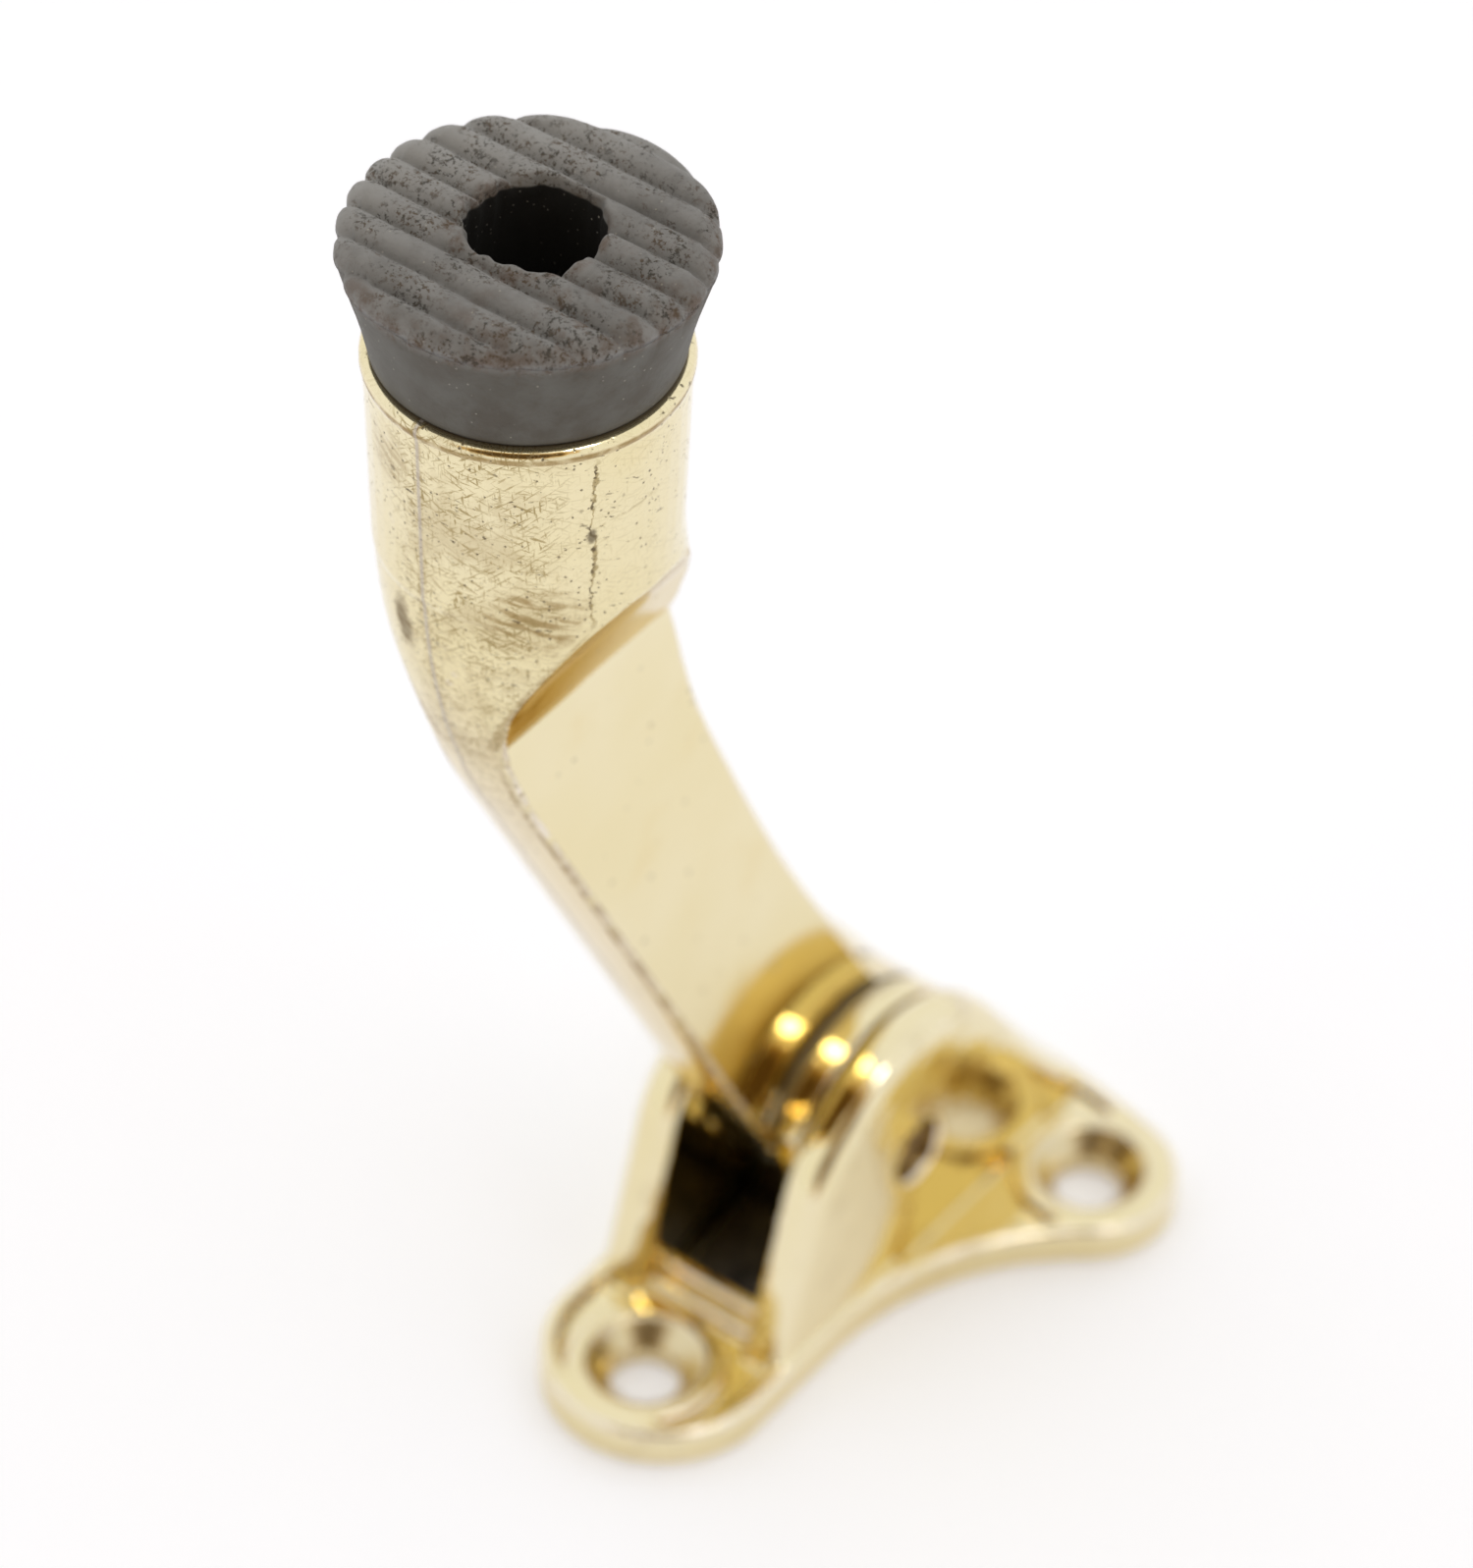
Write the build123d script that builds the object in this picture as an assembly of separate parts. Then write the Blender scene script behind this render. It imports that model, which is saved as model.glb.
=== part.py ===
from build123d import *
from math import acos, atan2, cos, degrees, radians, sin, sqrt
import os

os.makedirs("parts", exist_ok=True)

# Kick-down door holder, all lengths in mm.
# Frame: origin on the mounting face, right below the pivot; X along the pivot pin,
# Y from the single front screw to the two rear screws, Z away from the door.

# ---- base plate ----
PLATE_TOP = 3.0            # rim height above the mounting face
FLOOR = 2.2                # recessed floor inside the rim
RIM = 1.3                  # width of the raised rim
NOSE_R = 8.3               # rounded front end, also half the width of the neck
NOSE_Y = -18.1
EAR_X, EAR_Y = 13.1, 13.2  # rear screw holes
EAR_R = 6.2
FLARE_R = 22.0             # hollow flank between neck and ear
BACK_Y = 21.0              # rear edge on the centre line
FRONT_HOLE_Y = -19.9
SCREW_R = 2.4
SINK_R = 4.0
SINK_DEPTH = 1.7
RING_R = 5.4               # raised ring round each screw hole

# ---- cheeks and pivot ----
PIVOT_Z = 11.9
CHEEK_IN, CHEEK_OUT = 4.4, 7.8
CHEEK_R = 11.0
CHEEK_EDGE = 1.2
PIN_R = 2.4
PIN_RUN = 0.05             # radial running clearance in the lever
PIN_RECESS = 0.9

# ---- window, cross bar, spring, keeper ----
WIN_FRONT, WIN_BACK = -11.4, 7.8
BAR_FRONT, BAR_TOP = -12.5, 3.6
GROOVE_Y = 0.9             # groove in front of the cross bar
KEEP_X, KEEP_FRONT, KEEP_BACK, KEEP_T = 7.0, -12.0, 10.0, 1.0
LEAF_X, LEAF_T = 3.8, 0.7
LEAF_FRONT, LEAF_BACK, LEAF_TOP = -10.3, 7.2, 3.5
SET_X, SET_Y, SET_R, SET_LEN = 6.0, (-7.0, 5.0), 0.9, 4.0

# ---- lever ----
HUB_X = 4.1
HUB_R = 8.3                # lower part of the hub
HEAD_R = 10.4              # upper shoulder of the hub
SHOULDER_DEG = 36.0
NECK_X, NECK_DEEP = 2.0, 0.6  # groove between the web and the hub's head
HEEL = (-10.7, 17.4)
LEAN = 27.3                # straight part, degrees from Z
BEND_START = (-36.0, 66.5)
BEND_R = 52.0
WEB_X = 1.3
FLANGE_X = 2.6             # half width of the front rib
FLANGE_T = 0.9             # how far the rib stands in from the front
TOE_X = 2.9                # half width of the toe under the hub
TOE_DROP = 3.0             # height of the toe's front face
SKIN_R = 9.2               # roundness of the front face
FOOT_Y = -32.6             # axis of the socket
LEDGE_Z, RIM_Z = 86.9, 100.7
RIM_R = 9.6                # socket wall at the rim
BEAD_R, BEAD_T = 9.22, 0.56  # rounded bead round the mouth
# underside of the socket seen from the front, from the web out to the full width
GUSSET = ((1.3, 72.3), (3.0, 75.8), (4.6, 79.4), (6.3, 82.5), (7.9, 85.2), (9.6, 87.6))
BORE_R, BORE_Z = 8.3, 91.0

# ---- foot ----
FOOT_TOP = 109.4
TREAD_R = 11.1
RIB_PITCH, RIB_H, RIB_R = 2.4, 0.5, 1.4
RIB_SHIFT = -0.55
WELL_R, WELL_Z = 4.3, 94.0
SCREW_SHANK_R = 1.5


def save(solid, name):
    export_step(solid, f"parts/{name}.step")


def lathe_z(points, y, x=0.0):
    """Turn a closed (radius, height) outline about a vertical axis."""
    face = Plane.XZ * make_face(Polyline(*points, close=True))
    return Pos(x, y, 0) * revolve(face, Axis.Z)


def side_prism(face, half_width):
    """Face drawn in (Y, Z), made 2*half_width thick about X = 0."""
    return extrude(Plane.YZ * face, half_width, both=True)


def rod_x(radius, y, z, x0, x1):
    base = Plane(origin=(x0, y, z), x_dir=(0, 1, 0), z_dir=(1, 0, 0))
    return extrude(base * Circle(radius), x1 - x0)


def block(x0, x1, y0, y1, z0, z1):
    centre = Pos((x0 + x1) / 2, (y0 + y1) / 2, (z0 + z1) / 2)
    return centre * Box(x1 - x0, y1 - y0, z1 - z0)


# ================= base casting =================
holes = [(0.0, FRONT_HOLE_Y), (EAR_X, EAR_Y), (-EAR_X, EAR_Y)]

flare_x = NOSE_R + FLARE_R
reach = FLARE_R + EAR_R
flare_y = EAR_Y - sqrt(reach**2 - (flare_x - EAR_X) ** 2)
ear_touch = (
    EAR_X + (flare_x - EAR_X) * EAR_R / reach,
    EAR_Y + (flare_y - EAR_Y) * EAR_R / reach,
)
flare_turn = atan2(ear_touch[1] - flare_y, ear_touch[0] - flare_x)
flare_mid_turn = (flare_turn + radians(180)) / 2
flare_mid = (flare_x + FLARE_R * cos(flare_mid_turn), flare_y + FLARE_R * sin(flare_mid_turn))
ear_back = (EAR_X + EAR_R * sin(radians(10)), EAR_Y + EAR_R * cos(radians(10)))
ear_far = (EAR_X + EAR_R * cos(radians(10)), EAR_Y + EAR_R * sin(radians(10)))


def flip(point):
    return (-point[0], point[1])


outline = make_face(
    [
        ThreePointArc((NOSE_R, NOSE_Y), (0, NOSE_Y - NOSE_R), (-NOSE_R, NOSE_Y)),
        Line((-NOSE_R, NOSE_Y), (-NOSE_R, flare_y)),
        ThreePointArc((-NOSE_R, flare_y), flip(flare_mid), flip(ear_touch)),
        ThreePointArc(flip(ear_touch), flip(ear_far), flip(ear_back)),
        ThreePointArc(flip(ear_back), (0, BACK_Y), ear_back),
        ThreePointArc(ear_back, ear_far, ear_touch),
        ThreePointArc(ear_touch, flare_mid, (NOSE_R, flare_y)),
        Line((NOSE_R, flare_y), (NOSE_R, NOSE_Y)),
    ]
)
plate = extrude(outline, PLATE_TOP)
plate = fillet(plate.edges().filter_by_position(Axis.Z, PLATE_TOP, PLATE_TOP), 0.5)
sunk = extrude(Pos(0, 0, FLOOR) * offset(outline, -RIM), 5)
for x, y in holes:
    sunk -= Pos(x, y, FLOOR) * Cylinder(RING_R, 12)
sunk -= block(-CHEEK_OUT, CHEEK_OUT, BAR_FRONT - GROOVE_Y - 0.5, 25, 0, 9)
sunk += block(-CHEEK_IN, CHEEK_IN, BAR_FRONT - GROOVE_Y, BAR_FRONT, FLOOR, 9)
plate -= sunk

pivot = (0.0, PIVOT_Z)
cheek_face = make_hull(
    (
        Sketch() + Pos(0, PIVOT_Z) * Circle(CHEEK_R)
        + Pos(-4.3, PIVOT_Z + 1.0) * Circle(7.6)
        + Pos(2.3, PLATE_TOP - 1.0) * Rectangle(35.0, 2.0)
    ).edges()
)
cheeks = []
for side in (-1, 1):
    x0 = CHEEK_IN if side > 0 else -CHEEK_OUT
    start = Plane(origin=(x0, 0, 0), x_dir=(0, 1, 0), z_dir=(1, 0, 0))
    cheek = extrude(start * cheek_face, CHEEK_OUT - CHEEK_IN)
    crown = [e for e in cheek.edges() if e.center().Z > PLATE_TOP and e.bounding_box().size.X < 0.01]
    cheek = fillet(crown, CHEEK_EDGE)
    cheeks.append(cheek)

bar = block(-CHEEK_IN - 0.2, CHEEK_IN + 0.2, BAR_FRONT, WIN_FRONT + 0.2, FLOOR, BAR_TOP)
bar = fillet(bar.edges().filter_by(Axis.X).group_by(Axis.Z)[-1], 0.4)
base = plate + cheeks[0] + cheeks[1] + bar
base -= block(-CHEEK_IN, CHEEK_IN, WIN_FRONT, WIN_BACK, -1, PLATE_TOP + 1)
base -= block(-KEEP_X, KEEP_X, KEEP_FRONT, KEEP_BACK, -1, KEEP_T)
for x, y in holes:
    base -= Pos(x, y, PLATE_TOP / 2) * Cylinder(SCREW_R, PLATE_TOP + 2)
    base -= Pos(x, y, PLATE_TOP - SINK_DEPTH / 2) * Cone(SCREW_R, SINK_R, SINK_DEPTH)
base -= rod_x(PIN_R, 0, PIVOT_Z, -CHEEK_OUT - 1, CHEEK_OUT + 1)
for x in (-SET_X, SET_X):
    for y in SET_Y:
        base -= Pos(x, y, (KEEP_T + SET_LEN) / 2) * Cylinder(SET_R, SET_LEN - KEEP_T)
save(base, "base_casting")

# ================= pivot pin =================
pin_end = CHEEK_OUT - PIN_RECESS
pin = rod_x(PIN_R, 0, PIVOT_Z, -pin_end, pin_end)
pin = chamfer(pin.edges().filter_by(GeomType.CIRCLE), 0.4)
save(pin, "pivot_pin")

# ================= keeper plate and its screws =================
keeper = block(-KEEP_X, KEEP_X, KEEP_FRONT, KEEP_BACK, 0, KEEP_T)
keeper = fillet(keeper.edges().filter_by(Axis.Z), 1.0)
screws = []
for x in (-SET_X, SET_X):
    for y in SET_Y:
        stem = [(0, 0.05), (1.0, 0.05), (1.0, 0.15), (SET_R, 0.5), (SET_R, SET_LEN), (0, SET_LEN)]
        screw = lathe_z(stem, y, x)
        screw -= block(x - 1.2, x + 1.2, y - 0.15, y + 0.15, -1, 0.3)
        screws.append(screw)
        keeper -= lathe_z([(0, -1), (1.05, -1), (1.05, 0.15), (SET_R, 0.55), (SET_R, 2), (0, 2)], y, x)
save(keeper, "keeper_plate")
save(Compound(children=screws), "keeper_screws")

# ================= leaf spring =================
leaf_mid = (LEAF_FRONT + LEAF_BACK) / 2
low, high = KEEP_T + LEAF_T, LEAF_TOP
leaf_face = make_face(
    [
        ThreePointArc((LEAF_FRONT, low), (leaf_mid, high), (LEAF_BACK, low)),
        Line((LEAF_BACK, low), (LEAF_BACK, KEEP_T)),
        ThreePointArc((LEAF_BACK, KEEP_T), (leaf_mid, high - LEAF_T), (LEAF_FRONT, KEEP_T)),
        Line((LEAF_FRONT, KEEP_T), (LEAF_FRONT, low)),
    ]
)
leaf = side_prism(leaf_face, LEAF_X)
save(leaf, "leaf_spring")

# ================= lever arm =================
lean = radians(LEAN)
along = (-sin(lean), cos(lean))
inward = (cos(lean), sin(lean))
bend = (BEND_START[0] + BEND_R * inward[0], BEND_START[1] + BEND_R * inward[1])


def front(depth, angle=None, height=None):
    """Point of the front profile moved inward: on the straight part by height, else on the bend."""
    if angle is None:
        run = (height - BEND_START[1]) / along[1]
        y = BEND_START[0] + run * along[0] + depth * inward[0]
        return (y, height + depth * inward[1])
    radius = BEND_R - depth
    return (bend[0] - radius * cos(angle), bend[1] - radius * sin(angle))


tube_path = Plane.YZ * (
    Line(front(SKIN_R, height=0.0), front(SKIN_R, height=BEND_START[1]))
    + ThreePointArc(front(SKIN_R, lean), front(SKIN_R, lean / 2), front(SKIN_R, 0.0))
    + Line(front(SKIN_R, 0.0), (FOOT_Y, RIM_Z - 4))
)
tube = sweep(Plane(origin=tube_path @ 0, z_dir=tube_path % 0) * Circle(SKIN_R), path=tube_path)

# front rib seen from the side
TOP_ANGLE = radians(10)
rib_side = make_face(
    [
        Line(front(-0.5, height=HEEL[1] - 2), front(-0.5, height=BEND_START[1])),
        ThreePointArc(front(-0.5, lean), front(-0.5, (lean + TOP_ANGLE) / 2), front(-0.5, TOP_ANGLE)),
        Line(front(-0.5, TOP_ANGLE), front(FLANGE_T, TOP_ANGLE)),
        ThreePointArc(
            front(FLANGE_T, TOP_ANGLE), front(FLANGE_T, (lean + TOP_ANGLE) / 2), front(FLANGE_T, lean)
        ),
        Line(front(FLANGE_T, height=BEND_START[1]), front(FLANGE_T, height=HEEL[1] - 2)),
        Line(front(FLANGE_T, height=HEEL[1] - 2), front(-0.5, height=HEEL[1] - 2)),
    ]
)

# the rib seen from the front: straight, then a little wider where it runs into the socket
rib_flank = Spline(
    (FLANGE_X, 58.0), (FLANGE_X + 0.3, 69.0), (FLANGE_X + 0.8, 75.8), (4.6, 79.4), tangents=[(0, 1), (0.5, 1)]
)
rib_front = make_face(
    [
        Line((-FLANGE_X, 0), (FLANGE_X, 0)),
        Line((FLANGE_X, 0), (FLANGE_X, 58.0)),
        rib_flank,
        Line((4.6, 79.4), (4.6, 90)),
        Line((4.6, 90), (-4.6, 90)),
        Line((-4.6, 90), (-4.6, 79.4)),
        mirror(rib_flank, Plane.YZ),
        Line((-FLANGE_X, 58.0), (-FLANGE_X, 0)),
    ]
)

# gusset: the tube narrows in the front view from the socket down to the web
gusset_edge = Spline(*GUSSET)
gusset_front = make_face(
    [
        gusset_edge,
        Line(GUSSET[-1], (GUSSET[-1][0], RIM_Z - 4)),
        Line((GUSSET[-1][0], RIM_Z - 4), (-GUSSET[-1][0], RIM_Z - 4)),
        Line((-GUSSET[-1][0], RIM_Z - 4), (-GUSSET[-1][0], GUSSET[-1][1])),
        mirror(gusset_edge, Plane.YZ),
        Line((-GUSSET[0][0], GUSSET[0][1]), GUSSET[0]),
    ]
)
rib = tube & side_prism(rib_side, 12) & extrude(Plane.XZ * rib_front, 80, both=True)
gusset = tube & extrude(Plane.XZ * gusset_front, 80, both=True)

# rear edge of the bow, from the socket down to the hub
bow_back = Spline(
    (FOOT_Y + 8.9, LEDGE_Z + 2), (-22.6, 80.0), (-20.1, 71.9), (-17.5, 62.9),
    (-14.8, 56.5), (-10.3, 46.8), (-5.5, 37.4), (-0.8, 29.3),
    tangents=[(0.1, -1), (0.502, -0.865)],
)
behind_bow = make_face(
    [
        bow_back,
        Line((-0.8, 29.3), (20, 29.3)),
        Line((20, 29.3), (20, LEDGE_Z + 2)),
        Line((20, LEDGE_Z + 2), (FOOT_Y + 8.9, LEDGE_Z + 2)),
    ]
)
gusset -= side_prism(behind_bow, 12)

# web between the front rib and the rear edge of the bow
web_face = make_face(
    [
        Line(front(1.0, height=HEEL[1] + 2), front(1.0, height=BEND_START[1])),
        ThreePointArc(front(1.0, lean), front(1.0, lean / 2), front(1.0, 0.0)),
        Line(front(1.0, 0.0), (FOOT_Y + 2, LEDGE_Z + 3)),
        Line((FOOT_Y + 2, LEDGE_Z + 3), (FOOT_Y + 8.9, LEDGE_Z + 2)),
        bow_back,
        Line((-0.8, 29.3), (5.6, 18.2)),
        Line((5.6, 18.2), front(1.0, height=HEEL[1] + 2)),
    ]
)
web = side_prism(web_face, WEB_X)

# hub: small round below, larger shoulder above, cut flush behind the front face
heel_rel = (HEEL[0], HEEL[1] - PIVOT_Z)
heel_r = sqrt(heel_rel[0] ** 2 + heel_rel[1] ** 2)
heel_deg = degrees(atan2(heel_rel[1], heel_rel[0]))
touch_deg = heel_deg + degrees(acos(HUB_R / heel_r))


def about_pivot(radius, angle):
    return (radius * cos(radians(angle)), PIVOT_Z + radius * sin(radians(angle)))


lower = Pos(0, PIVOT_Z) * Circle(HUB_R)
shoulder = make_face(
    [
        Line(pivot, about_pivot(HEAD_R, SHOULDER_DEG)),
        ThreePointArc(
            about_pivot(HEAD_R, SHOULDER_DEG), about_pivot(HEAD_R, 90), about_pivot(HEAD_R, 150)
        ),
        Line(about_pivot(HEAD_R, 150), pivot),
    ]
)
toe = make_face(
    [
        Line(pivot, HEEL),
        Line(HEEL, (HEEL[0] + 0.2, HEEL[1] - TOE_DROP)),
        Line((HEEL[0] + 0.2, HEEL[1] - TOE_DROP), about_pivot(HUB_R, touch_deg)),
        Line(about_pivot(HUB_R, touch_deg), pivot),
    ]
)
behind = make_face(
    Polyline(
        front(0.4, height=HEEL[1] - 9), front(0.4, height=HEEL[1] + 12),
        front(30, height=HEEL[1] + 12), front(30, height=HEEL[1] - 30),
        front(0.4, height=HEEL[1] - 30), close=True,
    )
)
hub = side_prism((lower + shoulder) & behind, HUB_X)
for x in (-NECK_X, WEB_X):
    neck_x = x + NECK_X - WEB_X
    hub -= rod_x(HEAD_R + 1, 0, PIVOT_Z, x, neck_x) - rod_x(HEAD_R - NECK_DEEP, 0, PIVOT_Z, x, neck_x)
hub += side_prism(toe & behind, TOE_X)

socket = lathe_z(
    [
        (0, LEDGE_Z), (SKIN_R, LEDGE_Z), (RIM_R, RIM_Z - BEAD_T), (BEAD_R, RIM_Z - 0.1),
        (BEAD_R, RIM_Z), (0, RIM_Z),
    ],
    FOOT_Y,
)
socket += Pos(0, FOOT_Y, RIM_Z - BEAD_T) * Torus(BEAD_R, BEAD_T)

lever = rib + gusset + web + hub + socket
lever -= Pos(0, FOOT_Y, (BORE_Z + RIM_Z + 1) / 2) * Cylinder(BORE_R, RIM_Z + 1 - BORE_Z)
lever -= Pos(0, FOOT_Y, BORE_Z - 2.2) * Cylinder(SCREW_SHANK_R, 4.4)
lever -= rod_x(PIN_R + PIN_RUN, 0, PIVOT_Z, -HUB_X - 1, HUB_X + 1)
save(lever, "lever_arm")

# ================= rubber foot =================
tread_low = FOOT_TOP - RIB_H
foot = lathe_z(
    [
        (WELL_R, tread_low), (TREAD_R - 0.3, tread_low), (TREAD_R, tread_low - 0.4),
        (TREAD_R - 0.5, RIM_Z + 6.0), (TREAD_R - 0.95, RIM_Z + 4.4), (9.8, RIM_Z + 3.0),
        (9.5, RIM_Z + 1.6), (9.3, RIM_Z + 0.6), (BEAD_R - 0.1, RIM_Z), (BORE_R, RIM_Z),
        (BORE_R, BORE_Z), (SCREW_SHANK_R, BORE_Z), (SCREW_SHANK_R, WELL_Z), (WELL_R, WELL_Z),
    ],
    FOOT_Y,
)
disc = Pos(0, FOOT_Y, tread_low) * (Cylinder(TREAD_R, 2 * RIB_H) - Cylinder(WELL_R, 6))
for step in range(-4, 5):
    rod = rod_x(RIB_R, FOOT_Y + RIB_SHIFT + step * RIB_PITCH, FOOT_TOP - RIB_R, -TREAD_R, TREAD_R)
    foot += rod & disc
save(foot, "rubber_foot")

# ================= screw and washer holding the foot =================
washer_t = 0.8
washer = Pos(0, FOOT_Y, WELL_Z + washer_t / 2) * (Cylinder(3.9, washer_t) - Cylinder(1.6, washer_t))
save(washer, "foot_washer")

head_z = WELL_Z + washer_t
foot_screw = lathe_z(
    [
        (0, BORE_Z - 4.3), (SCREW_SHANK_R, BORE_Z - 4.3), (SCREW_SHANK_R, head_z),
        (2.9, head_z), (2.9, head_z + 1.0), (2.1, head_z + 1.9), (0, head_z + 2.1),
    ],
    FOOT_Y,
)
for turn in (0, 90):
    foot_screw -= Pos(0, FOOT_Y, head_z + 1.7) * Rot(0, 0, turn) * Box(3.4, 0.7, 1.6)
save(foot_screw, "foot_screw")
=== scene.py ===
import math
from types import SimpleNamespace

import bmesh
import bpy
from mathutils import Matrix, Vector, noise


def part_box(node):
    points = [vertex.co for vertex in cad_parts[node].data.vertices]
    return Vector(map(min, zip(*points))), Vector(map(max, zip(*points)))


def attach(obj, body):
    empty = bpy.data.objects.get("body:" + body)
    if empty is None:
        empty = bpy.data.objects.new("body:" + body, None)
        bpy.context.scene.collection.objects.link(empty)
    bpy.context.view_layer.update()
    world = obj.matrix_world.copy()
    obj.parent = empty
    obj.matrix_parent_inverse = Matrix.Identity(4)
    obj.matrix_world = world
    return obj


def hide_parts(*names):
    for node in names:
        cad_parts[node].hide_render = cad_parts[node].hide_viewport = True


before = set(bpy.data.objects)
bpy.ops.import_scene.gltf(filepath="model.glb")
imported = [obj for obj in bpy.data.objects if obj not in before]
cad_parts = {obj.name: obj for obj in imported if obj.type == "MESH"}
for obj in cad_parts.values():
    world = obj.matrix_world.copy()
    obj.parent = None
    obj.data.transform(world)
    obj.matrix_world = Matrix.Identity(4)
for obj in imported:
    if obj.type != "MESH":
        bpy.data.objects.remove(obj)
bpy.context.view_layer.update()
MM = 0.001

scene = bpy.context.scene

# ------------------------------------------------------------------ places taken from the frame, in metres
foot_lo, foot_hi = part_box("rubber_foot")
FOOT = Vector(((foot_lo[0] + foot_hi[0]) / 2, (foot_lo[1] + foot_hi[1]) / 2, 0))
FOOT_TOP = foot_hi[2]
STEM_Z = foot_lo[2]
RIM_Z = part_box("lever_arm")[1][2]
WASHER_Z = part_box("foot_washer")[0][2]

# ------------------------------------------------------------------ places on the castings, in millimetres
PIVOT_Z = 11.9
HEAD_R = 10.3              # hub's head, out to the edge of the dark groove
NECK_IN, NECK_OUT = 1.3, 2.0
WEB_SIDE = 1.3             # half the web's thickness
RIB_SIDE = 2.42            # half the front rib's width
SEAM_X = -0.5
GUSSET_START = 72.3
SOCKET_Y = -32.6
SOCKET_R = 9.2
# painted shadow: the brown line below the socket's rim is painted shade
BEAD_DROP = 0.74           # brown line below the socket's rim
MOUTH_R = 9.2
SCREW_HOLES = ((0.0, -19.9, 3.0), (13.1, 13.2, 3.0), (-13.1, 13.2, 3.0))

# places on the socket's skin: (distance round from the front, height)
SMUDGE = (-2.8, 83.6)
SCUFFS = (                 # place, radii, strength
    ((6.2, 87.2), (3.4, 2.6), 1.0),
    (SMUDGE, (0.9, 2.4), 1.0),
    ((-3.1, 96.6), (1.8, 2.0), 0.6),
)
SCRATCHED_ARC = 2.8
CRACK_ARC, CRACK_LOW, CRACK_HIGH = 9.9, 86.5, 99.2
CRACK_BLOB = (9.8, 93.6)
BRANCH_Z = 94.2
SPECKS = (14.0, 95.6)
SCRATCH_SETS = (           # angle, length, width, noise where a stroke starts and is full
    (28.0, 1.5, 0.20, 0.565, 0.645),
    (-38.0, 1.3, 0.18, 0.57, 0.65),
    (84.0, 1.1, 0.17, 0.58, 0.66),
    (3.0, 2.2, 0.16, 0.59, 0.66),
)

# where masks fade in or out along Z or Y, in millimetres: (still 0, already 1)
BEND = (72.0, 74.0)                        # the web gives way to the gusset
GUSSET_END = (86.5, 85.0)
GUSSET_DIRT_END = (89.0, 88.0)
SCRATCHED_FROM = (56.0, 74.0)
RUBBED_END = (84.0, 76.0)
BLUSH_FROM, BLUSH_END = (16.0, 24.0), (84.0, 66.0)
RIB_DIRT_FROM, RIB_DIRT_END = (18.0, 26.0), (75.0, 71.0)
NECK_FROM = (13.0, 16.0)
NECK_R_FROM = (7.0, 8.0)                   # distance from the pivot
MIRRORED_FROM = (14.0, 17.0)
UNEVEN_END = (27.0, 20.0)
FLANK_Y = (-24.0, -35.5)
SEAM_Y = (-20.0, -24.0)

# ------------------------------------------------------------------ colours
WHITE = (1.0, 1.0, 1.0)
BRASS = (0.815, 0.717, 0.435)
BRASS_PALE = (0.845, 0.757, 0.505)
BRASS_DEEP = (0.77, 0.61, 0.28)
# painted reflection: deeper gold given to brass only where it is seen in a reflection
BRASS_PAINTED_REFLECTION = (0.96, 0.85, 0.50)
BARE = (0.88, 0.81, 0.74)
BLUSH = (0.76, 0.62, 0.43)
# tarnish colour, also used for the painted shadow line under the lever's rim bead
TARNISH_AND_SHADE = (0.34, 0.228, 0.088)
STROKES = (0.35, 0.26, 0.105)
# dark dirt colour, also used as painted shade in the lever's neck groove and where the rubber sits in the
# rim
GRIME_AND_SHADE = (0.085, 0.056, 0.025)
SEAM_GREY = (0.50, 0.45, 0.40)
FLANK_TINT = (0.62, 0.46, 0.18)

TREAD_PALE, TREAD_GREY = (0.222, 0.216, 0.204), (0.166, 0.160, 0.149)
TREAD_LIT = (0.34, 0.333, 0.316)
FLARE_PALE, FLARE_GREY = (0.110, 0.107, 0.095), (0.093, 0.088, 0.075)
# the flare's brown on its +X and front side, and its paler grey on its -X and back side
FLARE_BROWN, FLARE_PALER_GREY = (0.062, 0.050, 0.036), (0.150, 0.145, 0.128)
RUST = (0.105, 0.066, 0.042)
GRIT_BLACK, GRIT_BROWN = (0.030, 0.026, 0.017), (0.078, 0.050, 0.026)
DUST = (0.40, 0.38, 0.32)
# painted shade: near black inside the rubber's well; the dust flecks on its wall are real
WELL_SHADE_BLACK, WELL_DUST = (0.010, 0.009, 0.007), (0.55, 0.53, 0.46)
RIM_SHADOW = (0.02, 0.016, 0.01)


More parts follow.
